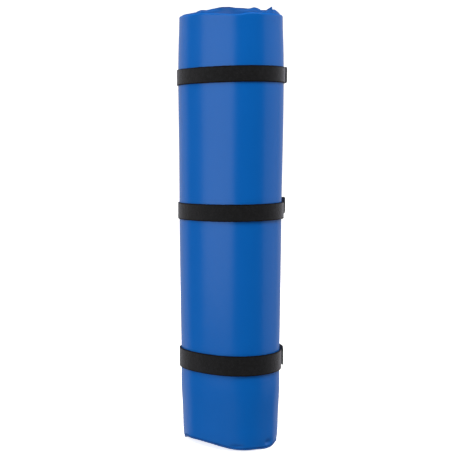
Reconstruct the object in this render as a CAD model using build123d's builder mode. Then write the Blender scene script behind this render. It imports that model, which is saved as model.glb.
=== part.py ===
"""Foam sleeping pad, rolled up, standing on one end and held by three hook-and-loop straps.

The mat is a foam sheet between two coated cover sheets that are welded together all round.
It is rolled round its own first fold, so each turn is two half circles and two flats, and the
roll is a little oval. It winds outwards clockwise as seen from above.
Frame: millimetres, +Z up along the roll, +X right, +Y back, origin under the middle of the roll.
"""
from build123d import *
import math
import os

# ---- the mat ----
ROLL_RADIUS = 62.5          # outer radius of the last turn where the mat ends
FLAT_LENGTH = 37.0          # flat between the half circles of each turn
LONG_AXIS = -40.0           # degrees from +X to the roll's long axis
MAT_THICKNESS = 7.95        # foam and both cover sheets, pressed in the roll
TURN_PITCH = 8.1            # growth in radius for each full turn
HALF_TURNS = 13             # before the last, part turn
MAT_END_ANGLE = 180.0       # where the mat ends, on the left of the roll
COVER_THICKNESS = 0.4
FLANGE_THICKNESS = 1.2      # the two cover sheets welded together
FLANGE_WIDTH = 9.0          # width of the weld beyond the foam
FOLDED_FLANGE = 1.2         # height of the lower weld, which folds flat under the roll
EDGE_CLOSING = 1.0          # the sheets where they close over the edge of the foam
FOAM_WIDTH = 598.0
CORE_SETBACK = 5.0          # the first flat is this much shorter, to leave room for its weld
END_FLANGE_LEAN = 15.0      # degrees that the outer end's weld turns in towards the roll
TAB_CORNER = 4.5            # rounding of the weld's corners

# ---- the straps ----
STRAP_THICKNESS = 1.6
HOOK_THICKNESS = 1.0
STRAP_CLEARANCE = 0.3       # between the strap and the roll
UNDER_END_ANGLE = 60.0      # where the strap starts, under its own overlap
TAB_HINGE_ANGLE = 21.0      # where the hooks end and the pull tab begins
MAT_END_BEND = 4.0          # bend radius of the strap's seat over the end of the mat
OVERLAP_BEND = 5.0          # bend radius of the strap's middle line over its own under end
HINGE_GAP = 0.25
TAB_TIP_RADIUS = 4.0
STRAPS = {                  # name: (height of the middle, width)
    "top": (519.0, 22.5),
    "middle": (332.0, 24.0),
    "bottom": (121.5, 28.5),
}

# ---- the hook patch and the stitching that holds it ----
HOOK_INSET = 1.0            # from the edge of the strap
HOOK_END_ANGLE = 2.5        # degrees between the hook patch and the strap's bends
STITCH_LENGTH = 2.4
STITCH_WIDTH = 0.7
STITCH_HEIGHT = 0.35
STITCHES_PER_ROW = 18
STITCH_INSET = 2.2          # from the edge of the strap

# ---- heights ----
MAT_BOTTOM = FOLDED_FLANGE + EDGE_CLOSING
MAT_TOP = MAT_BOTTOM + FOAM_WIDTH

# ---- the half circles have two centres, one at each end of the flats ----
# A turn goes over the back flat, round the right end, over the front flat, round the left end.
BACK_ANGLE = LONG_AXIS + 90
FRONT_ANGLE = LONG_AXIS - 90
ALONG = Vector(1, 0).rotate(Axis.Z, LONG_AXIS)
ACROSS = Vector(1, 0).rotate(Axis.Z, BACK_ANGLE)
RIGHT_RADIUS = ROLL_RADIUS - TURN_PITCH / 2
BACK_RADIUS = ROLL_RADIUS - TURN_PITCH
CORE_RADIUS = ROLL_RADIUS - MAT_THICKNESS - HALF_TURNS * TURN_PITCH / 2
HALF_SPREAD = ALONG * (FLAT_LENGTH / 2) - ACROSS * (TURN_PITCH / 4)

# the roll with its straps is centred on the origin
SINGLE_STACK = STRAP_CLEARANCE + STRAP_THICKNESS
OVERLAP_STACK = SINGLE_STACK + HOOK_THICKNESS + STRAP_THICKNESS
CENTRE = Vector(
    (ROLL_RADIUS + SINGLE_STACK - RIGHT_RADIUS - OVERLAP_STACK) / 2,
    (RIGHT_RADIUS - BACK_RADIUS) / 2,
)
RIGHT_CENTRE = CENTRE + HALF_SPREAD
LEFT_CENTRE = CENTRE - HALF_SPREAD


def around(centre, radius, angle):
    """The point at an angle on a circle."""
    radians = math.radians(angle)
    return centre + Vector(radius * math.cos(radians), radius * math.sin(radians))


def wound_strip(inner, outer):
    """Outline of a strip of the mat in the roll, between two depths from its inner face."""
    core = around(RIGHT_CENTRE, CORE_RADIUS, BACK_ANGLE) - ALONG * (FLAT_LENGTH - CORE_SETBACK)
    rim = around(LEFT_CENTRE, ROLL_RADIUS - MAT_THICKNESS, MAT_END_ANGLE)
    rim_outward = around(Vector(), 1, MAT_END_ANGLE)
    with BuildLine() as outline:
        for depth in (inner, outer):
            seam = around(RIGHT_CENTRE, CORE_RADIUS + depth, BACK_ANGLE)
            Line(core + ACROSS * depth, seam)
            for half_turn in range(HALF_TURNS):
                radius = CORE_RADIUS + half_turn * TURN_PITCH / 2 + depth
                if half_turn % 2 == 0:
                    CenterArc(RIGHT_CENTRE, radius, BACK_ANGLE, -180)
                    flat_start = around(RIGHT_CENTRE, radius, FRONT_ANGLE)
                    Line(flat_start, flat_start - ALONG * FLAT_LENGTH)
                else:
                    CenterArc(LEFT_CENTRE, radius, FRONT_ANGLE, -180)
                    flat_start = around(LEFT_CENTRE, radius, BACK_ANGLE)
                    Line(flat_start, flat_start + ALONG * FLAT_LENGTH)
            last_radius = ROLL_RADIUS - MAT_THICKNESS + depth
            CenterArc(LEFT_CENTRE, last_radius, FRONT_ANGLE, MAT_END_ANGLE - FRONT_ANGLE - 360)
        Line(core + ACROSS * inner, core + ACROSS * outer)
        Line(rim + rim_outward * inner, rim + rim_outward * outer)
    return outline.edges()


def shared_tangent(from_centre, from_radius, to_centre, to_radius):
    """Outward angle of the straight stretch of a band that goes clockwise over two circles."""
    apart = from_centre - to_centre
    turn = math.acos((to_radius - from_radius) / apart.length)
    return math.degrees(math.atan2(apart.Y, apart.X) - turn) % 360


def strip_outline(line_at, thickness):
    """Outline of a strip, from a function that gives the line at a distance outward of it."""
    inner = line_at(-thickness / 2)
    outer = line_at(thickness / 2)
    with BuildLine() as outline:
        add(inner.line)
        add(outer.line)
        Line(inner.wire() @ 0, outer.wire() @ 0)
        Line(inner.wire() @ 1, outer.wire() @ 1)
    return outline.edges()


def save(part, name):
    part.label = name
    export_step(part, f"parts/{name}.step")


os.makedirs("parts", exist_ok=True)

# ---- the foam and its two cover sheets ----
layers = {
    "inner_cover_sheet": (0, COVER_THICKNESS),
    "foam_core": (COVER_THICKNESS, MAT_THICKNESS - COVER_THICKNESS),
    "outer_cover_sheet": (MAT_THICKNESS - COVER_THICKNESS, MAT_THICKNESS),
}
for layer_name, (layer_inner, layer_outer) in layers.items():
    with BuildPart() as layer:
        with BuildSketch(Plane.XY.offset(MAT_BOTTOM)):
            make_face(wound_strip(layer_inner, layer_outer))
        extrude(amount=FOAM_WIDTH)
    save(layer.part, layer_name)

# ---- the weld along the upper edge: the sheets close over the foam, then stand up together ----
flange_inner = (MAT_THICKNESS - FLANGE_THICKNESS) / 2
with BuildPart() as top_edge_weld:
    with BuildSketch(Plane.XY.offset(MAT_TOP)):
        make_face(wound_strip(0, MAT_THICKNESS))
    extrude(amount=EDGE_CLOSING)
    with BuildSketch(Plane.XY.offset(MAT_TOP + EDGE_CLOSING)):
        make_face(wound_strip(flange_inner, flange_inner + FLANGE_THICKNESS))
    extrude(amount=FLANGE_WIDTH)
save(top_edge_weld.part, "top_edge_weld")

# ---- the weld along the lower edge: the roll stands on it, folded flat against the foam ----
with BuildPart() as bottom_edge_weld:
    with BuildSketch():
        make_face(wound_strip(0, MAT_THICKNESS))
    extrude(amount=MAT_BOTTOM)
save(bottom_edge_weld.part, "bottom_edge_weld")

# ---- the weld at the outer end of the mat, on the left of the roll ----
mat_end = LEFT_CENTRE - Vector(ROLL_RADIUS - MAT_THICKNESS / 2, 0)
end_weld_height = FOAM_WIDTH + 2 * EDGE_CLOSING
with BuildPart() as outer_end_weld:
    with BuildSketch(Plane.XY.offset(FOLDED_FLANGE)):
        with Locations(mat_end + Vector(0, EDGE_CLOSING / 2)):
            Rectangle(MAT_THICKNESS, EDGE_CLOSING)
    extrude(amount=end_weld_height)
    flange_plane = Plane(
        origin=mat_end + Vector(0, EDGE_CLOSING),
        x_dir=Vector(0, 0, 1),
        z_dir=Vector(-1, 0, 0).rotate(Axis.Z, -END_FLANGE_LEAN),
    )
    with BuildSketch(flange_plane.offset(-FLANGE_THICKNESS / 2)):
        with Locations((FOLDED_FLANGE + end_weld_height / 2, FLANGE_WIDTH / 2)):
            Rectangle(end_weld_height, FLANGE_WIDTH)
        fillet(vertices().group_by(Axis.Y)[-1], radius=TAB_CORNER)
    extrude(amount=FLANGE_THICKNESS)
save(outer_end_weld.part, "outer_end_weld")

# ---- the weld at the inner end of the mat, in the fold that the roll starts with ----
core_end = (
    around(RIGHT_CENTRE, CORE_RADIUS + MAT_THICKNESS / 2, BACK_ANGLE)
    - ALONG * (FLAT_LENGTH - CORE_SETBACK + FLANGE_WIDTH / 2)
)
with BuildPart() as inner_end_weld:
    with BuildSketch(Plane.XY.offset(MAT_BOTTOM)):
        with Locations(core_end):
            Rectangle(FLANGE_WIDTH, FLANGE_THICKNESS, rotation=LONG_AXIS)
    extrude(amount=FOAM_WIDTH)
save(inner_end_weld.part, "inner_end_weld")

# ---- the line that each strap takes round the roll, along the middle of its thickness ----
strap_middle = STRAP_CLEARANCE + STRAP_THICKNESS / 2
overlap_rise = STRAP_THICKNESS + HOOK_THICKNESS
left_line = ROLL_RADIUS + strap_middle
right_line = RIGHT_RADIUS + strap_middle
back_line = BACK_RADIUS + strap_middle
mat_end_bend = mat_end + Vector(MAT_END_BEND - MAT_THICKNESS / 2, EDGE_CLOSING)
mat_end_line = MAT_END_BEND + strap_middle
under_end_bend = around(LEFT_CENTRE, back_line + overlap_rise - OVERLAP_BEND, UNDER_END_ANGLE)
leave_mat_end = shared_tangent(mat_end_bend, mat_end_line, LEFT_CENTRE, back_line)
leave_back = shared_tangent(LEFT_CENTRE, back_line, under_end_bend, OVERLAP_BEND)
hinge = around(RIGHT_CENTRE, right_line + overlap_rise, TAB_HINGE_ANGLE)
hinge_clearance = (STRAP_THICKNESS / 2 + HINGE_GAP) / (right_line + overlap_rise)
hooked_end = TAB_HINGE_ANGLE + math.degrees(hinge_clearance)


def back_flat(outward, start_angle, end_angle):
    """Over the end of the back-left half circle, the back flat and part of the right end."""
    CenterArc(LEFT_CENTRE, back_line + outward, start_angle, BACK_ANGLE - start_angle)
    flat_start = around(LEFT_CENTRE, back_line + outward, BACK_ANGLE)
    Line(flat_start, around(RIGHT_CENTRE, right_line + outward, BACK_ANGLE))
    CenterArc(RIGHT_CENTRE, right_line + outward, BACK_ANGLE, end_angle - BACK_ANGLE)


def band_line(outward):
    """A line along the band, clockwise from its under end to where its hooks stop on the overlap.

    It is as far out from the middle of the band's thickness as outward says.
    """
    over_mat_end = mat_end_line + outward
    over_under_end = OVERLAP_BEND + outward
    front_flat = around(RIGHT_CENTRE, right_line + outward, FRONT_ANGLE)
    with BuildLine() as line:
        back_flat(outward, UNDER_END_ANGLE, FRONT_ANGLE)
        Line(front_flat, around(LEFT_CENTRE, left_line + outward, FRONT_ANGLE))
        CenterArc(LEFT_CENTRE, left_line + outward, FRONT_ANGLE, -180 - FRONT_ANGLE)
        Line(LEFT_CENTRE - Vector(left_line + outward, 0), mat_end_bend - Vector(over_mat_end, 0))
        CenterArc(mat_end_bend, over_mat_end, 180, leave_mat_end - 180)
        Line(
            around(mat_end_bend, over_mat_end, leave_mat_end),
            around(LEFT_CENTRE, back_line + outward, leave_mat_end),
        )
        CenterArc(LEFT_CENTRE, back_line + outward, leave_mat_end, leave_back - leave_mat_end)
        Line(
            around(LEFT_CENTRE, back_line + outward, leave_back),
            around(under_end_bend, over_under_end, leave_back),
        )
        CenterArc(under_end_bend, over_under_end, leave_back, UNDER_END_ANGLE - leave_back)
        back_flat(overlap_rise + outward, UNDER_END_ANGLE, hooked_end)
    return line


def hook_line(outward):
    """A line along the hook patch, between the two layers of the overlap."""
    with BuildLine() as line:
        back_flat(
            overlap_rise / 2 + outward,
            UNDER_END_ANGLE - HOOK_END_ANGLE,
            TAB_HINGE_ANGLE + HOOK_END_ANGLE,
        )
    return line


band_outline = strip_outline(band_line, STRAP_THICKNESS)
hook_outline = strip_outline(hook_line, HOOK_THICKNESS)
stitch_line = hook_line(overlap_rise / 2 + STRAP_THICKNESS / 2).wire()

for strap, (height, width) in STRAPS.items():
    low = Plane.XY.offset(height - width / 2)

    with BuildPart() as band:
        with BuildSketch(low):
            make_face(band_outline)
        extrude(amount=width)
    save(band.part, f"{strap}_strap_band")

    # hook tape on the inner face of the overlap, gripping the loop face of the turn below
    with BuildPart() as hooks:
        with BuildSketch(low.offset(HOOK_INSET)):
            make_face(hook_outline)
        extrude(amount=width - 2 * HOOK_INSET)
    save(hooks.part, f"{strap}_strap_hook_patch")

    # the loose end, which swings out about the line where the hooks stop
    with BuildPart() as tab:
        with BuildSketch(low):
            with BuildLine():
                CenterArc(
                    RIGHT_CENTRE,
                    right_line + overlap_rise,
                    TAB_HINGE_ANGLE,
                    -TAB_HINGE_ANGLE,
                )
            trace(line_width=STRAP_THICKNESS)
            with Locations(hinge):
                Circle(STRAP_THICKNESS / 2)
        extrude(amount=width)
        tip_edges = tab.edges().filter_by(Axis.X).group_by(Axis.Y)[0]
        fillet(tip_edges, radius=TAB_TIP_RADIUS)
    save(tab.part, f"{strap}_strap_pull_tab")

    # two rows of stitches through the strap, along the edges of the hook patch
    with BuildPart() as stitching:
        for row in (height - width / 2 + STITCH_INSET, height + width / 2 - STITCH_INSET):
            for index in range(STITCHES_PER_ROW):
                along = (index + 0.5) / STITCHES_PER_ROW
                outward = (stitch_line % along).rotate(Axis.Z, 90)
                place = (stitch_line @ along) + Vector(0, 0, row)
                with BuildSketch(Plane(place, z_dir=outward)):
                    Rectangle(STITCH_WIDTH, STITCH_LENGTH)
                extrude(amount=STITCH_HEIGHT)
    save(stitching.part, f"{strap}_strap_stitching")

print("axis of the pull tabs", hinge)
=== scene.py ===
"""Looks of the rolled foam sleeping pad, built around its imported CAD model. Metres, +Z up."""
import math

import bmesh
import bpy
import numpy as np
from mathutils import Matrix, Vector, noise


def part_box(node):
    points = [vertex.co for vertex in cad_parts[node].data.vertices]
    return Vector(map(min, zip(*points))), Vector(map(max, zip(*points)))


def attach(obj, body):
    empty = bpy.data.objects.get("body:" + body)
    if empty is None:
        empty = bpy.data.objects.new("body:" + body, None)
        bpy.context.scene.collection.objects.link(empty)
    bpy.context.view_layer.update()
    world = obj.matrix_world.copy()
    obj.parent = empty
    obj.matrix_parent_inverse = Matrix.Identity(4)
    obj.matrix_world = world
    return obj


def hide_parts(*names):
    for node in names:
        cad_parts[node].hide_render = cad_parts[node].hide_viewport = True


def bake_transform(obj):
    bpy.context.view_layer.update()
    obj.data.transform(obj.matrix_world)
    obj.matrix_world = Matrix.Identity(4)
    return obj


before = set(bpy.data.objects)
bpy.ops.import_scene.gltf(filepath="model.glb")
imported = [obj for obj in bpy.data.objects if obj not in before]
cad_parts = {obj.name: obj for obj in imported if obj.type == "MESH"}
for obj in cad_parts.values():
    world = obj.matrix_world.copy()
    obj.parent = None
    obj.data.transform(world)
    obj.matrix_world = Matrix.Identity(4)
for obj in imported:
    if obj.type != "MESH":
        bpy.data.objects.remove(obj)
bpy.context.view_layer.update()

MM = 0.001

# ---------------------------------------------------------------- sizes
cover_low, cover_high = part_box("outer_cover_sheet")
weld_low, weld_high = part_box("outer_end_weld")

# the roll: turns of two half circles and two flats, wound clockwise outwards
LONG_AXIS = -40.0           # degrees from +X to the roll's long axis
FLAT_LENGTH = 37 * MM
CORE_SETBACK = 5 * MM
TURN_GAP = 0.15 * MM
HALF_TURNS = 13
THICKNESS = weld_high[0] - weld_low[0]
PITCH = THICKNESS + TURN_GAP
FOAM_BOTTOM = cover_low[2]
FOAM_TOP = cover_high[2]
FOAM_WIDTH = FOAM_TOP - FOAM_BOTTOM

# the welded edges
FLANGE_WIDTH = 9.5 * MM
FLANGE_THICKNESS = 1.0 * MM
FLANGE_SINK = 1.5 * MM      # the weld starts this far below the top of the foam
RIM_WIDTH = 1.0 * MM        # the dark line where the press cut the weld
EDGE_ROUNDING = 3.2 * MM    # height over which the sheets close over the foam's edge
EDGE_SQUARENESS = 0.7       # 1 closes them in a half ellipse, less is squarer
END_FLANGE_LEAN = 19.0      # degrees that the outer end's weld turns in
END_ROUNDING = 7 * MM       # length over which the mat thins to its ends
OUTER_TURN = 430 * MM       # length of the last turn, the one that shows

# the straps
STRAP_THICKNESS = 1.6 * MM
HOOK_THICKNESS = 1.0 * MM
STRAP_CLEARANCE = 0.3 * MM
STRAP_TRAVEL = 60 * MM      # a strap stays clear of the roll when it is pushed up this far
STRAP_MARGIN = 2.5 * MM     # and the roll is also taken this far above and below the strap
TAPE_FUZZ = 0.11 * MM       # height of the pile's tufts
HOOK_EDGE = 1 * MM          # from the edge of the strap to the hook patch
UNDER_END_ANGLE = 60.0
TIP_ROUNDING = 4 * MM
STRAP_SHRINK = 0.5 * MM     # the tape is this much narrower than its nominal band
SMOOTHING_PASSES = 5        # more of them would pull the strap into the mat's end
STRAPS = {                  # slope to the right, rise of the overlap, how far its tip is cut back
    "top": (0.016, 1.0 * MM, 0),
    "middle": (0.015, 6.0 * MM, 6 * MM),
    "bottom": (0.006, 2.8 * MM, 0),
}

# how the real roll differs from the even one
LEAN = 0.8 * MM             # the upper part of the roll is this much to the right
LEAN_FROM = 0.5             # share of the foam's width where the lean starts
LEAN_OVER = 0.25            # share of the foam's width over which it grows
CORNER_DROOP = 6.2 * MM     # the lower corner of the mat's free end hangs
CORNER_WIDTH = 26 * MM
CORNER_HEIGHT = 50 * MM
FLAT_BULGE = 3.0 * MM       # the flats are not quite flat
FLAT_BULGE_WIDTH = 24 * MM
LOW_EDGE = (                # distance to the right, and how far the lower edge is above the even one
    (-62 * MM, 6.5 * MM),
    (-45 * MM, 8.0 * MM),
    (-30 * MM, 7.5 * MM),
    (-15 * MM, 5.8 * MM),
    (0 * MM, 3.4 * MM),
    (18 * MM, 2.0 * MM),
    (36 * MM, 2.0 * MM),
    (50 * MM, 0.6 * MM),
    (57 * MM, 0.8 * MM),
    (64 * MM, 3.6 * MM),
)
TOP_EDGE = (                # the same for the upper edge
    (-73 * MM, 3.8 * MM),
    (-65 * MM, 2.6 * MM),
    (-40 * MM, 2.2 * MM),
    (-26 * MM, 0.8 * MM),
    (-4 * MM, -1.0 * MM),
    (12 * MM, -1.5 * MM),
    (22 * MM, 0.2 * MM),
    (50 * MM, 0.8 * MM),
    (70 * MM, 2.4 * MM),
)
PUCKERS = (                 # dents at the foot: direction and half its spread, height, half height, depth
    (-84, 6, 8.0 * MM, 2.2 * MM, 2.2 * MM),
    (-43, 4, 9.5 * MM, 4.0 * MM, 3.0 * MM),
    (-112, 5, 7.0 * MM, 2.5 * MM, 0.9 * MM),
    (20, 5, 8.5 * MM, 3.0 * MM, 2.4 * MM),
    (62, 4, 7.0 * MM, 2.5 * MM, 1.6 * MM),
    (95, 6, 8.5 * MM, 3.0 * MM, 2.0 * MM),
)
GIRTH = (                   # height up the mat, as a share of its width, and how wide the roll is there
    (0.00, 0.912),
    (0.02, 0.926),
    (0.06, 0.936),
    (0.12, 0.961),
    (0.18, 0.959),
    (0.28, 0.968),
    (0.38, 0.977),
    (0.48, 0.984),
    (0.60, 0.991),
    (0.70, 1.000),
    (0.80, 1.010),
    (0.87, 1.012),
    (0.93, 1.003),
    (0.97, 0.991),
    (1.00, 0.987),
)
FLANGE_STANDS = (           # direction from the middle of the roll, and how high the top weld stands
    (-180, 2.8 * MM),
    (-152, 2.0 * MM),
    (-132, 4.0 * MM),
    (-118, 6.8 * MM),
    (-105, 8.5 * MM),
    (-90, 9.3 * MM),
    (-80, 8.2 * MM),
    (-70, 5.5 * MM),
    (-62.5, 6.9 * MM),
    (-54.5, 4.2 * MM),
    (-48.5, 1.2 * MM),
    (-43.5, 5.2 * MM),
    (-39.5, 9.6 * MM),
    (-37.4, 2.2 * MM),
    (-32, 5.4 * MM),
    (-11, 6.0 * MM),
    (45, 8.0 * MM),
    (80, 5.0 * MM),
    (115, 8.5 * MM),
    (150, 5.0 * MM),
    (180, 2.8 * MM),
)
INNER_STANDS = 5.5 * MM     # about how high the weld of the inner turns stands


def unit(angle):
    """Plan direction at an angle in degrees from +X."""
    return np.array([math.cos(math.radians(angle)), math.sin(math.radians(angle))])


ALONG = unit(LONG_AXIS)
ACROSS = unit(LONG_AXIS + 90)
centre_step = FLAT_LENGTH * ALONG - PITCH / 2 * ACROSS
ROLL_RADIUS = (cover_high[0] - cover_low[0] + PITCH / 2 - centre_step[0]) / 2
CORE_RADIUS = ROLL_RADIUS - THICKNESS - HALF_TURNS * PITCH / 2
LEFT_CENTRE = np.array([cover_low[0] + ROLL_RADIUS, cover_high[1] - ROLL_RADIUS + PITCH])
RIGHT_CENTRE = LEFT_CENTRE + centre_step
ROLL_CENTRE = (LEFT_CENTRE + RIGHT_CENTRE) / 2


# ---------------------------------------------------------------- shape of the roll
def smooth(x):
    """Smooth step from 0 to 1 as x goes from 0 to 1."""
    x = np.clip(x, 0, 1)
    return x * x * (3 - 2 * x)


def curve_through(x, pairs):
    """Value at x of a cubic curve through (x, value) pairs, with the slopes of a Catmull-Rom spline."""
    xs, values = np.array(pairs).T
    slopes = np.gradient(values, xs)
    x = np.clip(x, xs[0], xs[-1])
    index = np.clip(np.searchsorted(xs, x, side="right") - 1, 0, len(xs) - 2)
    step = xs[index + 1] - xs[index]
    t = (x - xs[index]) / step
    start = (1 + 2 * t) * (1 - t) ** 2 * values[index] + t * (1 - t) ** 2 * step * slopes[index]
    end = t * t * (3 - 2 * t) * values[index + 1] + t * t * (t - 1) * step * slopes[index + 1]
    return start + end


def wind_mat(spacing):
    """The middle line of the mat in the roll, from its inner to its outer end.

    Returns plan points, outward directions and distances along the mat.
    """
    back = LONG_AXIS + 90
    points = []
    outwards = []

    def add_flat(start, length):
        for share in np.linspace(0, 1, max(2, round(length / spacing)), endpoint=False):
            points.append(start + share * length * facing)
            outwards.append(np.array([-facing[1], facing[0]]))

    def add_bend(centre, radius, start, sweep):
        steps = max(10, round(radius * math.radians(sweep) / spacing))
        for angle in np.linspace(start, start - sweep, steps, endpoint=False):
            points.append(centre + radius * unit(angle))
            outwards.append(unit(angle))

    facing = ALONG
    radius = CORE_RADIUS + THICKNESS / 2
    first_length = FLAT_LENGTH - CORE_SETBACK
    add_flat(RIGHT_CENTRE + radius * ACROSS - first_length * ALONG, first_length)
    for half_turn in range(HALF_TURNS):
        if half_turn % 2 == 0:
            add_bend(RIGHT_CENTRE, radius, back, 180)
            facing = -ALONG
            add_flat(RIGHT_CENTRE - radius * ACROSS, FLAT_LENGTH)
        else:
            add_bend(LEFT_CENTRE, radius, back + 180, 180)
            facing = ALONG
            add_flat(LEFT_CENTRE + radius * ACROSS, FLAT_LENGTH)
        radius += PITCH / 2
    add_bend(LEFT_CENTRE, radius, back + 180, back)
    points.append(LEFT_CENTRE - np.array([radius, 0]))
    outwards.append(np.array([-1.0, 0.0]))
    points = np.array(points)
    steps = np.linalg.norm(np.diff(points, axis=0), axis=1)
    return points, np.array(outwards), np.concatenate([[0], np.cumsum(steps)])


def settle(points):
    """Moves points of the even roll to where the real roll has them."""
    p = np.array(points, dtype=float)
    height = (p[..., 2] - FOAM_BOTTOM) / FOAM_WIDTH
    plan = p[..., :2] - ROLL_CENTRE
    along = plan @ ALONG
    across = plan @ ACROSS
    bulge = FLAT_BULGE * np.exp(-(along / FLAT_BULGE_WIDTH) ** 2) * across / ROLL_RADIUS
    plan = plan + bulge[..., None] * ACROSS
    p[..., :2] = ROLL_CENTRE + plan * curve_through(height, GIRTH)[..., None]
    p[..., 0] += LEAN * smooth((height - LEAN_FROM) / LEAN_OVER)
    low_rise = curve_through(p[..., 0], LOW_EDGE)
    top_rise = curve_through(p[..., 0], TOP_EDGE)
    p[..., 2] += low_rise + (top_rise - low_rise) * np.clip(height, 0, 1)
    return p


def hang_corner(points, from_end):
    """Lowers the corner at the foot of the mat's free end."""
    near_end = smooth(1 - from_end / CORNER_WIDTH)
    near_foot = smooth(1 - (points[..., 2] - FOAM_BOTTOM) / CORNER_HEIGHT)
    points[..., 2] -= CORNER_DROOP * near_end * near_foot
    return points


def noise_at(points, scale, seed=0.0):
    """Smooth noise from -1 to 1 at each point, with features about scale metres across."""
    shift = Vector((seed * 7.3, seed * 3.1, seed * 5.7))
    flat = np.asarray(points).reshape(-1, 3)
    found = np.array([noise.noise(Vector(p) / scale + shift) for p in flat])
    return found.reshape(np.asarray(points).shape[:-1])


# ---------------------------------------------------------------- mesh helpers
def add_mesh(name, points, faces, uv=None):
    mesh = bpy.data.meshes.new(name)
    mesh.from_pydata([tuple(p) for p in points], [], faces)
    if uv is not None:
        layer = mesh.uv_layers.new(name="fabric")
        corners = np.array([loop.vertex_index for loop in mesh.loops])
        layer.data.foreach_set("uv", np.asarray(uv)[corners].ravel())
    clean = bmesh.new()
    clean.from_mesh(mesh)
    bmesh.ops.recalc_face_normals(clean, faces=clean.faces)
    clean.to_mesh(mesh)
    clean.free()
    for face in mesh.polygons:
        face.use_smooth = True
    piece = bpy.data.objects.new(name, mesh)
    bpy.context.scene.collection.objects.link(piece)
    return piece


def loft(name, rings, uv=None):
    """A closed mesh over a row of closed rings of points (rings, points of a ring, 3)."""
    count, size = rings.shape[:2]
    faces = []
    for i in range(count - 1):
        for j in range(size):
            k = (j + 1) % size
            faces.append((i * size + j, (i + 1) * size + j, (i + 1) * size + k, i * size + k))
    faces.append(tuple(range(size)))
    faces.append(tuple((count - 1) * size + j for j in reversed(range(size))))
    flat_uv = None if uv is None else uv.reshape(-1, 2)
    return add_mesh(name, rings.reshape(-1, 3), faces, flat_uv)


def dress(piece, body, slot, material, *nodes):
    """The piece's material, the body that it rides on and the CAD nodes that it replaces. slot is not
    used.
    """
    piece.data.materials.append(material)
    if nodes:
        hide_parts(*nodes)
    if body:
        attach(piece, body)
    return piece


# ---------------------------------------------------------------- materials
class Shader:
    """Builds the nodes of one procedural material."""

    def __init__(self, name):
        self.material = bpy.data.materials.new(name)
        self.material.use_nodes = True
        self.tree = self.material.node_tree
        self.surface = self.tree.nodes["Principled BSDF"]

    def node(self, kind, inputs=(), **settings):
        made = self.tree.nodes.new(kind)
        for key, value in settings.items():
            setattr(made, key, value)
        for key, value in dict(inputs).items():
            if isinstance(value, bpy.types.NodeSocket):
                self.tree.links.new(value, made.inputs[key])
            else:
                made.inputs[key].default_value = value
        return made

    def math(self, operation, first, second=0.0):
        return self.node("ShaderNodeMath", {0: first, 1: second}, operation=operation).outputs[0]

    def noise(self, where, scale, detail=3.0, roughness=0.5):
        inputs = {"Vector": where, "Scale": scale, "Detail": detail, "Roughness": roughness}
        return self.node("ShaderNodeTexNoise", inputs).outputs["Fac"]

    def between(self, factor, low, high):
        """factor from 0 to 1 becomes low to high."""
        inputs = {"Value": factor, "To Min": low, "To Max": high}
        return self.node("ShaderNodeMapRange", inputs).outputs["Result"]

    def mix_colour(self, factor, first, second):
        made = self.node("ShaderNodeMix", data_type="RGBA")
        for key, value in (("Factor", factor), ("A", first), ("B", second)):
            socket = [s for s in made.inputs if s.name == key and s.enabled][0]
            if isinstance(value, bpy.types.NodeSocket):
                self.tree.links.new(value, socket)
            else:
                socket.default_value = value
        return [s for s in made.outputs if s.enabled][0]

    def bump(self, height, strength, distance, normal=None):
        inputs = {"Height": height, "Strength": strength, "Distance": distance}
        if normal is not None:
            inputs["Normal"] = normal
        return self.node("ShaderNodeBump", inputs).outputs["Normal"]

    def set(self, **values):
        """Sets or links the surface's inputs, with spaces in their names written as _."""
        for key, value in values.items():
            socket = self.surface.inputs[key.replace("_", " ")]
            if isinstance(value, bpy.types.NodeSocket):
                self.tree.links.new(value, socket)
            else:
                socket.default_value = value


def weave(shader, period):
    """Height of a plain weave, from 0 to 1, along the fabric's own threads."""
    uv = shader.node("ShaderNodeUVMap", uv_map="fabric").outputs[0]
    parts = shader.node("ShaderNodeSeparateXYZ", {0: uv})
    turn = 2 * math.pi / period
    warp = shader.math("SINE", shader.math("MULTIPLY", parts.outputs["X"], turn))
    weft = shader.math("SINE", shader.math("MULTIPLY", parts.outputs["Y"], turn))
    return shader.between(shader.math("MULTIPLY", warp, weft), 0, 1)


def cover_fabric():
    """Satin coated fabric: smooth, with a fine weave, faint ripples and slight changes of colour."""
    shader = Shader("cover_fabric")
    where = shader.node("ShaderNodeTexCoord").outputs["Object"]
    cloudy = shader.noise(where, 14, 3)
    fine = shader.noise(where, 260, 2)
    colour = shader.mix_colour(cloudy, (0.001, 0.139, 0.55, 1), (0.0015, 0.148, 0.58, 1))
    colour = shader.mix_colour(shader.between(fine, 0, 0.25), colour, (0.001, 0.131, 0.525, 1))
    threads = weave(shader, 0.42 * MM)
    ripples = shader.noise(where, 55, 2)
    normal = shader.bump(ripples, 0.12, 0.6 * MM)
    normal = shader.bump(threads, 0.25, 0.03 * MM, normal)
    shader.set(
        Base_Color=colour,
        Roughness=shader.between(cloudy, 0.23, 0.28),
        Normal=normal,
        Specular_IOR_Level=0.42,
    )
    return shader.material


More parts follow.
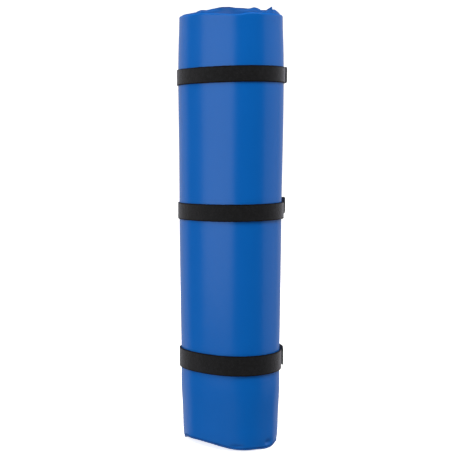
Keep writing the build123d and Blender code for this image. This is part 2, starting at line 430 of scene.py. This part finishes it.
def welded_edge():
    """The same fabric, heat sealed: darker and flatter, with the press's fine ribs and a dark cut edge."""
    shader = Shader("welded_edge")
    where = shader.node("ShaderNodeTexCoord").outputs["Object"]
    uv = shader.node("ShaderNodeUVMap", uv_map="fabric").outputs[0]
    parts = shader.node("ShaderNodeSeparateXYZ", {0: uv})
    turn = 2 * math.pi / (1.6 * MM)
    rising = shader.math("ADD", parts.outputs["X"], parts.outputs["Y"])
    falling = shader.math("SUBTRACT", parts.outputs["X"], parts.outputs["Y"])
    one = shader.math("SINE", shader.math("MULTIPLY", rising, turn))
    other = shader.math("SINE", shader.math("MULTIPLY", falling, turn))
    ribs = shader.between(shader.math("MAXIMUM", one, other), 0, 1)
    cloudy = shader.noise(where, 40, 3)
    colour = shader.mix_colour(cloudy, (0.001, 0.092, 0.37, 1), (0.002, 0.106, 0.42, 1))
    worn = shader.between(shader.math("GREATER_THAN", ribs, 0.97), 0, 0.2)
    colour = shader.mix_colour(worn, colour, (0.012, 0.12, 0.44, 1))
    rim = shader.math("GREATER_THAN", parts.outputs["Y"], FLANGE_WIDTH - RIM_WIDTH)
    colour = shader.mix_colour(rim, colour, (0.001, 0.03, 0.16, 1))
    normal = shader.bump(shader.noise(where, 120, 2), 0.3, 0.5 * MM)
    normal = shader.bump(ribs, 0.35, 0.12 * MM, normal)
    shader.set(Base_Color=colour, Roughness=shader.between(cloudy, 0.28, 0.36), Normal=normal)
    return shader.material


def loop_tape():
    """Black brushed loop pile: matte, fuzzy, with stray lighter loops, and bare along its edges."""
    shader = Shader("loop_tape")
    where = shader.node("ShaderNodeTexCoord").outputs["Object"]
    pile = shader.noise(where, 900, 3, 0.65)
    tufts = shader.noise(where, 260, 3, 0.6)
    lint = shader.between(shader.math("GREATER_THAN", shader.noise(where, 1400, 1), 0.68), 0, 0.5)
    colour = shader.mix_colour(pile, (0.003, 0.003, 0.003, 1), (0.014, 0.0138, 0.0138, 1))
    worn = shader.between(shader.noise(where, 190, 4, 0.7), -1.1, 1.3)
    colour = shader.mix_colour(worn, colour, (0.018, 0.018, 0.019, 1))
    colour = shader.mix_colour(lint, colour, (0.05, 0.05, 0.052, 1))
    uv = shader.node("ShaderNodeUVMap", uv_map="fabric").outputs[0]
    from_edges = shader.node("ShaderNodeSeparateXYZ", {0: uv})
    nearest = shader.math("MINIMUM", from_edges.outputs["X"], from_edges.outputs["Y"])
    ragged = shader.math("MULTIPLY", tufts, 0.8 * MM)
    bare = shader.math("LESS_THAN", shader.math("ADD", nearest, ragged), 1.8 * MM)
    colour = shader.mix_colour(bare, colour, (0.0035, 0.0035, 0.004, 1))
    normal = shader.bump(tufts, 0.6, 0.5 * MM)
    normal = shader.bump(pile, 0.7, 0.3 * MM, normal)
    shader.set(
        Base_Color=colour,
        Roughness=shader.between(tufts, 0.8, 0.95),
        Normal=normal,
        Sheen_Weight=shader.between(bare, 0.5, 0.12),
        Sheen_Roughness=0.4,
        Sheen_Tint=(0.95, 0.93, 1.0, 1),
        Specular_IOR_Level=0.2,
    )
    return shader.material


def hook_tape():
    """Black nylon base with rows of moulded hooks."""
    shader = Shader("hook_tape")
    where = shader.node("ShaderNodeTexCoord").outputs["Object"]
    inputs = {"Vector": where, "Scale": 700.0}
    hooks = shader.node("ShaderNodeTexVoronoi", inputs).outputs["Distance"]
    shade = shader.noise(where, 300, 2)
    colour = shader.mix_colour(shade, (0.006, 0.006, 0.006, 1), (0.02, 0.02, 0.02, 1))
    normal = shader.bump(hooks, 0.8, 0.4 * MM)
    shader.set(Base_Color=colour, Roughness=shader.between(shade, 0.45, 0.6), Normal=normal)
    return shader.material


def thread():
    """Black bonded sewing thread, twisted."""
    shader = Shader("thread")
    where = shader.node("ShaderNodeTexCoord").outputs["Object"]
    twist = shader.noise(where, 1500, 2)
    colour = shader.mix_colour(twist, (0.008, 0.008, 0.009, 1), (0.03, 0.03, 0.032, 1))
    normal = shader.bump(twist, 0.5, 0.1 * MM)
    shader.set(Base_Color=colour, Roughness=shader.between(twist, 0.5, 0.65), Normal=normal)
    return shader.material


MATERIALS = {make.__name__: make() for make in (cover_fabric, welded_edge, loop_tape, hook_tape, thread)}


# ---------------------------------------------------------------- the mat
def mat_section(rows):
    """Points round the mat's section: half-thickness shares and heights, closing round its edges."""
    edge = np.linspace(0, math.pi, 12)[1:-1]
    shut = np.sign(np.cos(edge)) * np.abs(np.cos(edge)) ** EDGE_SQUARENESS
    bow = np.sin(edge) ** EDGE_SQUARENESS
    low = FOAM_BOTTOM + EDGE_ROUNDING
    high = FOAM_TOP - EDGE_ROUNDING
    fine = 22 * MM
    foot = np.linspace(low, low + fine, rows // 3, endpoint=False)
    body = np.linspace(low + fine, high - fine, rows // 2, endpoint=False)
    rise = np.concatenate([foot, body, np.linspace(high - fine, high, rows - len(foot) - len(body))])
    shares = np.concatenate([np.ones(rows), shut, -np.ones(rows), -shut])
    over = high + EDGE_ROUNDING * bow
    under = low - EDGE_ROUNDING * bow
    return shares, np.concatenate([rise, over, rise[::-1], under])


def rolled_mat():
    points, outwards, lengths = wind_mat(3 * MM)
    shares, heights = mat_section(72)
    from_end = np.minimum(lengths, lengths[-1] - lengths)
    full = np.clip(1 - from_end / END_ROUNDING, 0, 1)
    half = np.maximum(THICKNESS / 2 * np.sqrt(1 - full ** 2), 0.35 * MM)
    rings = np.empty((len(points), len(shares), 3))
    depth = half[:, None] * shares
    rings[..., :2] = points[:, None, :] + depth[..., None] * outwards[:, None, :]
    rings[..., 2] = heights
    uv = np.stack(np.broadcast_arrays(lengths[:, None], heights[None, :]), axis=-1)
    from_free_end = (lengths[-1] - lengths)[:, None]
    rings = hang_corner(settle(rings), from_free_end)
    plan = rings[..., :2] - ROLL_CENTRE
    direction = np.degrees(np.arctan2(plan[..., 1], plan[..., 0]))
    on_outside = (shares > 0.5)[None, :] * (from_free_end < OUTER_TURN)
    for bearing, spread, height, half_height, deep in PUCKERS:
        sideways = (direction - bearing) / spread
        dent = deep * np.exp(-sideways ** 2 - ((rings[..., 2] - height) / half_height) ** 2)
        rings[..., :2] -= (dent * on_outside)[..., None] * outwards[:, None, :]
    piece = loft("rolled_mat_cover", rings, uv)
    nodes = ("foam_core", "inner_cover_sheet", "outer_cover_sheet")
    dress(piece, "rolled_mat", "cover_fabric", MATERIALS["cover_fabric"], *nodes)


def standing_weld():
    """The weld along the upper edge, which stands up or leans in over the turns."""
    points, outwards, lengths = wind_mat(2 * MM)
    direction = np.degrees(np.arctan2(*(points - ROLL_CENTRE).T[::-1]))
    stands = curve_through(direction, FLANGE_STANDS)
    plan = np.concatenate([points, np.zeros((len(points), 1))], axis=1)
    inner_stands = INNER_STANDS * (1 + 0.5 * noise_at(plan, 30 * MM, 7))
    covered = smooth((lengths[-1] - lengths - 400 * MM) / (60 * MM))
    stands += (inner_stands - stands) * covered
    lean = np.arccos(np.clip(stands / FLANGE_WIDTH, 0.1, 0.99))
    rows = 9
    share = np.linspace(0, 1, rows)
    turned = lean[:, None] * smooth(share / 0.45)[None, :]
    step = np.maximum(FLANGE_WIDTH, stands)[:, None] / (rows - 1)
    inward = np.cumsum(np.sin(turned) * step, axis=1)
    rise = np.cumsum(np.cos(turned) * step, axis=1)
    thick = FLANGE_THICKNESS * (0.55 + 0.45 * np.cos(share * math.pi / 2))
    root = 3 * MM
    middle = np.empty((len(points), rows, 3))
    middle[..., :2] = points[:, None, :] - inward[..., None] * outwards[:, None, :]
    middle[..., 2] = FOAM_TOP - root + (root - FLANGE_SINK) * smooth(share * 4)[None, :] + rise
    wave = noise_at(middle * (1, 1, 0), 22 * MM, 1) * 2.2 * MM
    crinkle = noise_at(middle * (1, 1, 0), 6 * MM, 2) * 0.5 * MM
    sway = (wave + crinkle) * share[None, :] ** 1.5
    middle[..., :2] += sway[..., None] * outwards[:, None, :]
    middle[..., 2] += noise_at(middle * (1, 1, 0), 9 * MM, 3) * 0.5 * MM * share[None, :]
    normal = np.stack([np.cos(turned), np.sin(turned)], axis=-1)
    side = np.empty_like(middle)
    side[..., :2] = normal[..., :1] * outwards[:, None, :]
    side[..., 2] = normal[..., 1]
    half = (thick / 2)[None, :, None] * side
    rings = np.concatenate([middle + half, (middle - half)[:, ::-1]], axis=1)
    across = np.concatenate([share, share[::-1]]) * FLANGE_WIDTH
    uv = np.stack(np.broadcast_arrays(lengths[:, None], across[None, :]), axis=-1)
    piece = loft("top_weld_flange", settle(rings), uv)
    dress(piece, "rolled_mat", "welded_edge", MATERIALS["welded_edge"], "top_edge_weld")


def folded_weld():
    """The weld along the lower edge, folded flat between the foam and the floor."""
    points, outwards, lengths = wind_mat(3 * MM)
    turn = np.linspace(0, 2 * math.pi, 16, endpoint=False)
    high = FOAM_BOTTOM + 0.6 * MM
    plan = np.concatenate([points, np.zeros((len(points), 1))], axis=1)
    pucker = noise_at(plan, 17 * MM, 4) * 0.9 * MM + noise_at(plan, 6 * MM, 5) * 0.35 * MM
    reach = THICKNESS / 2 - 0.5 * MM + np.where(np.cos(turn)[None, :] > 0, pucker[:, None], 0)
    rings = np.empty((len(points), len(turn), 3))
    depth = reach * np.sign(np.cos(turn)) * np.abs(np.cos(turn)) ** 0.6
    rings[..., :2] = points[:, None, :] + depth[..., None] * outwards[:, None, :]
    rings[..., 2] = high / 2 * (1 + np.sign(np.sin(turn)) * np.abs(np.sin(turn)) ** 0.7)
    uv = np.stack(np.broadcast_arrays(lengths[:, None], depth), axis=-1)
    from_free_end = (lengths[-1] - lengths)[:, None]
    piece = loft("bottom_weld_fold", hang_corner(settle(rings), from_free_end), uv)
    dress(piece, "rolled_mat", "welded_edge", MATERIALS["welded_edge"], "bottom_edge_weld")


def end_weld(name, root, facing, low, high, lean_side, node):
    """An upright weld across the end of the mat, with rounded corners."""
    rows = 80
    columns = 7
    heights = np.linspace(low, high, rows)
    share = np.linspace(0, 1, columns)
    corner = 6 * MM
    from_tip = np.minimum(heights - low, high - heights)
    cut = corner - np.sqrt(np.maximum(corner ** 2 - np.clip(corner - from_tip, 0, corner) ** 2, 0))
    reach = (FLANGE_WIDTH - 0.98 * cut)[:, None] * share[None, :]
    middle = np.empty((rows, columns, 3))
    wave = noise_at(np.stack([0 * heights, 0 * heights, heights], axis=1), 45 * MM, 6) * 0.8 * MM
    sway = wave[:, None] * share[None, :] ** 2
    middle[..., :2] = root + reach[..., None] * facing + sway[..., None] * lean_side
    middle[..., 2] = heights[:, None]
    half = np.array([*lean_side, 0]) * FLANGE_THICKNESS / 2
    rings = np.concatenate([middle + half, (middle - half)[:, ::-1]], axis=1)
    across = np.concatenate([share, share[::-1]]) * FLANGE_WIDTH
    uv = np.stack(np.broadcast_arrays(heights[:, None], across[None, :]), axis=-1)
    rings = settle(rings)
    if node == "outer_end_weld":
        rings = hang_corner(rings, 0)
    piece = loft(name, rings, uv)
    dress(piece, "rolled_mat", "welded_edge", MATERIALS["welded_edge"], node)


def end_welds():
    outer_root = LEFT_CENTRE - np.array([ROLL_RADIUS - THICKNESS / 2, 1 * MM])
    facing = unit(90 - END_FLANGE_LEAN)
    side = unit(180 - END_FLANGE_LEAN)
    high = FOAM_TOP + 2 * MM
    end_weld("outer_end_flange", outer_root, facing, 0.5 * MM, high, side, "outer_end_weld")
    radius = CORE_RADIUS + THICKNESS / 2
    inner_root = RIGHT_CENTRE + radius * ACROSS - (FLAT_LENGTH - CORE_SETBACK - 1 * MM) * ALONG
    end_weld("inner_end_flange", inner_root, -ALONG, FOAM_BOTTOM, high, ACROSS, "inner_end_weld")


# ---------------------------------------------------------------- the straps
def hull(points):
    """The convex outline round plan points, clockwise."""
    ordered = sorted(map(tuple, points))

    def half(row):
        kept = []
        for p in row:
            while len(kept) > 1 and cross(kept[-2], kept[-1], p) >= 0:
                kept.pop()
            kept.append(p)
        return kept[:-1]

    def cross(a, b, c):
        return (b[0] - a[0]) * (c[1] - a[1]) - (b[1] - a[1]) * (c[0] - a[0])

    return np.array(half(ordered) + half(ordered[::-1]))


def girdle(low, high, spacing):
    """The line of a band that just passes the roll between two heights, clockwise.

    Returns its plan points and its outward directions.
    """
    points, outwards, lengths = wind_mat(2 * MM)
    last_turn = lengths > lengths[-1] - 520 * MM
    round_end = np.minimum((lengths[-1] - lengths) / END_ROUNDING, 1)
    half = THICKNESS / 2 * np.sqrt(1 - (1 - round_end) ** 2)
    outer = (points + half[:, None] * outwards)[last_turn]
    levels = [np.full((len(outer), 1), height) for height in np.linspace(low, high, 7)]
    stack = np.concatenate([np.concatenate([outer, level], axis=1) for level in levels])
    outline = hull(settle(stack)[:, :2])
    closed = np.concatenate([outline, outline[:1]])
    steps = np.concatenate([[0], np.cumsum(np.linalg.norm(np.diff(closed, axis=0), axis=1))])
    count = round(steps[-1] / spacing)
    at = np.linspace(0, steps[-1], count, endpoint=False)
    line = np.stack([np.interp(at, steps, closed[:, axis]) for axis in (0, 1)], axis=1)
    for _ in range(SMOOTHING_PASSES):
        line = (np.roll(line, 1, axis=0) + 2 * line + np.roll(line, -1, axis=0)) / 4
    tangent = np.roll(line, -1, axis=0) - np.roll(line, 1, axis=0)
    tangent /= np.linalg.norm(tangent, axis=1)[:, None]
    return line, np.stack([-tangent[:, 1], tangent[:, 0]], axis=1)


class StrapLine:
    """The course of one strap: once round the roll from its under end, then over itself to its tip."""

    SPACING = 1 * MM

    def __init__(self, name):
        low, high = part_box(f"{name}_strap_band")
        self.width = high[2] - low[2] - STRAP_SHRINK
        self.height = (high[2] + low[2] + STRAP_SHRINK) / 2
        self.slope, self.tip_rise, cut_back = STRAPS[name]
        half = self.width / 2 + STRAP_MARGIN
        line, outward = girdle(self.height - half, self.height + half + STRAP_TRAVEL, self.SPACING)
        start = self.nearest(line, LEFT_CENTRE + ROLL_RADIUS * unit(UNDER_END_ANGLE))
        self.line = np.roll(line, -start, axis=0)
        self.outward = np.roll(outward, -start, axis=0)
        self.lap = len(line) * self.SPACING
        tab_low, tab_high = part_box(f"{name}_strap_pull_tab")
        hinge = np.array([tab_high[0] - 2 * MM, tab_high[1] - STRAP_THICKNESS / 2])
        tip = np.array([tab_high[0], tab_low[1]])
        self.hinge = self.lap + self.nearest(self.line, hinge) * self.SPACING
        self.tip = self.lap + self.nearest(self.line, tip) * self.SPACING - cut_back

    @staticmethod
    def nearest(line, point):
        return int(np.argmin(np.linalg.norm(line - point, axis=1)))

    def at(self, distance, layer=0.0):
        """Points on the strap's middle line at distances along it, and the outward directions there.

        layer moves them outwards.
        """
        distance = np.asarray(distance, dtype=float)
        index = distance / self.SPACING
        low = np.floor(index).astype(int)
        share = (index - low)[..., None]
        size = len(self.line)
        plan = self.line[low % size] * (1 - share) + self.line[(low + 1) % size] * share
        outward = self.outward[low % size] * (1 - share) + self.outward[(low + 1) % size] * share
        over = smooth((distance - self.lap + 13 * MM) / (11 * MM))
        stack = STRAP_THICKNESS + HOOK_THICKNESS
        lift = STRAP_CLEARANCE + STRAP_THICKNESS / 2 + stack * over + layer
        plan = plan + lift[..., None] * outward
        overlap = np.clip((distance - self.lap) / (self.tip - self.lap), 0, 1)
        rise = self.slope * (plan[..., 0] - ROLL_CENTRE[0]) + self.tip_rise * overlap
        points = np.concatenate([plan, (self.height + rise)[..., None]], axis=-1)
        level = np.zeros(outward.shape[:-1] + (1,))
        return points, np.concatenate([outward, level], axis=-1)


def tape(name, course, start, end, layer, thickness, width, tip_rounding=0.0, fuzz=0.0):
    """A strip of tape along a strap's course, with rounded edges and, if asked, a fuzzy surface."""
    distances = np.linspace(start, end, max(2, round((end - start) / (1.1 * MM))))
    points, outward = course.at(distances, layer)
    rows = max(4, round(width / (1.3 * MM)))
    edge = np.linspace(-math.pi / 2, math.pi / 2, 7)[1:-1]
    half = width / 2 - thickness / 2
    rise = np.linspace(-half, half, rows)
    up = np.concatenate([rise, half + thickness / 2 * np.cos(edge), rise[::-1],
                         -half - thickness / 2 * np.cos(edge)])
    out = np.concatenate([np.full(rows, thickness / 2), -thickness / 2 * np.sin(edge),
                          np.full(rows, -thickness / 2), thickness / 2 * np.sin(edge)])
    from_tip = np.clip(tip_rounding - (end - distances), 0, None)
    cut = tip_rounding - np.sqrt(np.maximum(tip_rounding ** 2 - from_tip ** 2, 0))
    squeeze = 1 - 0.97 * cut / (width / 2)
    rings = points[:, None, :] + out[None, :, None] * outward[:, None, :]
    rings[..., 2] += up[None, :] * squeeze[:, None]
    if fuzz:
        ragged = noise_at(rings, 2.2 * MM, 8) * fuzz
        tufted = noise_at(rings, 1.1 * MM, 9) * fuzz * 0.6
        away = out[None, :, None] / (thickness / 2) * outward[:, None, :]
        rings = rings + (ragged + tufted)[..., None] * away
        at_edge = smooth((np.abs(up) - half + 1 * MM) / (1 * MM))
        frayed = noise_at(rings, 3 * MM, 10) * fuzz * 2.2
        rings[..., 2] += frayed * at_edge[None, :] * np.sign(up)[None, :]
    from_cut = end - distances if tip_rounding else distances - start
    from_side = width / 2 - np.abs(up)
    uv = np.stack(np.broadcast_arrays(from_cut[:, None], from_side[None, :]), axis=-1)
    return loft(name, rings, uv)


def stitches(name, course, start, end, layer, rows):
    """Rows of short thread stitches lying in the tape's surface."""
    count = 22
    length = 2.0 * MM
    radius = 0.3 * MM
    points = []
    faces = []
    sides = 8
    for row in rows:
        for index in range(count):
            middle = start + (end - start) * (index + 0.5) / count
            along = np.linspace(-0.5, 0.5, 7)
            line, outward = course.at(middle + along * length, layer)
            dip = radius * (1 - 5.2 * along ** 2)
            thick = radius * np.sqrt(np.clip(1.05 - 4 * along ** 2, 0.05, 1))
            base = len(points)
            for place, out, lift, r in zip(line, outward, dip, thick):
                for turn in np.linspace(0, 2 * math.pi, sides, endpoint=False):
                    ring = place + out * (lift - radius * 0.5 + r * math.cos(turn))
                    points.append(ring + np.array([0, 0, row + r * math.sin(turn)]))
            for i in range(len(along) - 1):
                for j in range(sides):
                    k = (j + 1) % sides
                    a = base + i * sides
                    faces.append((a + j, a + sides + j, a + sides + k, a + k))
            faces.append(tuple(base + j for j in range(sides)))
            last = base + (len(along) - 1) * sides
            faces.append(tuple(last + j for j in reversed(range(sides))))
    return add_mesh(name, points, faces, np.zeros((len(points), 2)))


def strap(name):
    course = StrapLine(name)
    bend = 5 * MM
    tab_start = course.hinge - bend
    body = f"{name}_strap"
    band = tape(f"{name}_strap_tape", course, 0, tab_start, 0, STRAP_THICKNESS, course.width,
                fuzz=TAPE_FUZZ)
    dress(band, body, "loop_tape", MATERIALS["loop_tape"], f"{name}_strap_band")

    tab = tape(f"{name}_strap_tab", course, tab_start + 0.05 * MM, course.tip, 0, STRAP_THICKNESS,
               course.width, tip_rounding=TIP_ROUNDING, fuzz=TAPE_FUZZ)
    dress(tab, None, "loop_tape", MATERIALS["loop_tape"], f"{name}_strap_pull_tab")
    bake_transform(tab)

    under = -(STRAP_THICKNESS + HOOK_THICKNESS) / 2
    hooks = tape(f"{name}_strap_hooks", course, course.lap + 3 * MM, tab_start - 1 * MM, under,
                 HOOK_THICKNESS - 0.15 * MM, course.width - 2 * HOOK_EDGE)
    dress(hooks, body, "hook_tape", MATERIALS["hook_tape"], f"{name}_strap_hook_patch")

    rows = (course.width / 2 - 2.4 * MM, 2.4 * MM - course.width / 2)
    sewn = stitches(f"{name}_strap_stitches", course, course.lap + 4 * MM, tab_start - 2 * MM,
                    STRAP_THICKNESS / 2, rows)
    dress(sewn, body, "thread", MATERIALS["thread"], f"{name}_strap_stitching")


rolled_mat()
standing_weld()
folded_weld()
end_welds()
for strap_name in STRAPS:
    strap(strap_name)


# ---------------------------------------------------------------- studio
def studio_bowl():
    """A pale floor that rises to a pale wall all round."""
    radii = np.array([0.02, 1.0, 2.0, 2.8, 3.3, 3.7, 3.95, 4.05, 4.08])
    heights = np.array([0, 0, 0, 0.0, 0.06, 0.25, 0.6, 1.2, 3.6])
    turns = np.radians(np.arange(0, 360, 7.5))
    points = [(r * math.cos(t), r * math.sin(t), h) for r, h in zip(radii, heights) for t in turns]
    size = len(turns)
    faces = [tuple(range(size))]
    for i in range(len(radii) - 1):
        for j in range(size):
            k = (j + 1) % size
            faces.append((i * size + j, i * size + k, (i + 1) * size + k, (i + 1) * size + j))
    bowl = add_mesh("studio_floor", points, faces)
    material = bpy.data.materials.new("studio_floor")
    material.use_nodes = True
    surface = material.node_tree.nodes["Principled BSDF"]
    surface.inputs["Base Color"].default_value = (0.85, 0.85, 0.85, 1)
    surface.inputs["Roughness"].default_value = 0.9
    surface.inputs["Emission Color"].default_value = (1, 1, 1, 1)
    surface.inputs["Emission Strength"].default_value = 0.8
    bowl.data.materials.append(material)
    bowl.visible_glossy = False
    bowl.visible_diffuse = False
    bowl.visible_shadow = False


def soft_box(name, bearing, distance, height, size, power, in_reflections=True):
    """An area light facing the roll. bearing is degrees to the right of the camera's side."""
    light = bpy.data.lights.new(name, "AREA")
    light.shape = "RECTANGLE"
    light.size, light.size_y = size
    light.energy = power
    lamp = bpy.data.objects.new(name, light)
    direction = unit(bearing - 90)
    lamp.location = (direction[0] * distance, direction[1] * distance, height)
    aim = Vector((0, 0, FOAM_TOP * 0.55)) - lamp.location
    lamp.rotation_euler = aim.to_track_quat("-Z", "Y").to_euler()
    lamp.visible_camera = False
    lamp.visible_glossy = in_reflections
    bpy.context.scene.collection.objects.link(lamp)


studio_bowl()
soft_box("key", -49, 1.6, 0.6, (1.9, 1.5), 10.4)
soft_box("right", 90, 1.6, 0.5, (1.6, 1.6), 4.4)
soft_box("left_rim", -138, 1.8, 0.35, (2.0, 2.2), 6.6)
soft_box("right_rim", 142, 1.8, 0.35, (1.5, 2.2), 4.2)
soft_box("above", 0, 0.3, 2.5, (2.0, 2.0), 4)
for bearing, power in ((-45, 29), (45, 54), (135, 42), (-135, 34)):
    soft_box(f"fill_{bearing}", bearing, 1.9, 2.7, (2.4, 1.5), power, in_reflections=False)
for bearing, power in ((-50, 9), (105, 7)):
    soft_box(f"bounce_{bearing}", bearing, 0.9, -0.9, (2.4, 1.8), power, in_reflections=False)

world = bpy.data.worlds.new("studio")
world.use_nodes = True
world.node_tree.nodes["Background"].inputs["Color"].default_value = (0.9, 0.93, 1.0, 1)
world.node_tree.nodes["Background"].inputs["Strength"].default_value = 0.08
bpy.context.scene.world = world
bpy.context.scene.view_settings.view_transform = "Standard"

camera_data = bpy.data.cameras.new("camera")
camera_data.lens = 82.17
camera_data.sensor_width = 36
camera = bpy.data.objects.new("camera", camera_data)
camera.location = (-1.2 * MM, -1.485, 0.4335)
camera.rotation_euler = (math.radians(85), 0, 0)
bpy.context.scene.collection.objects.link(camera)
bpy.context.scene.camera = camera
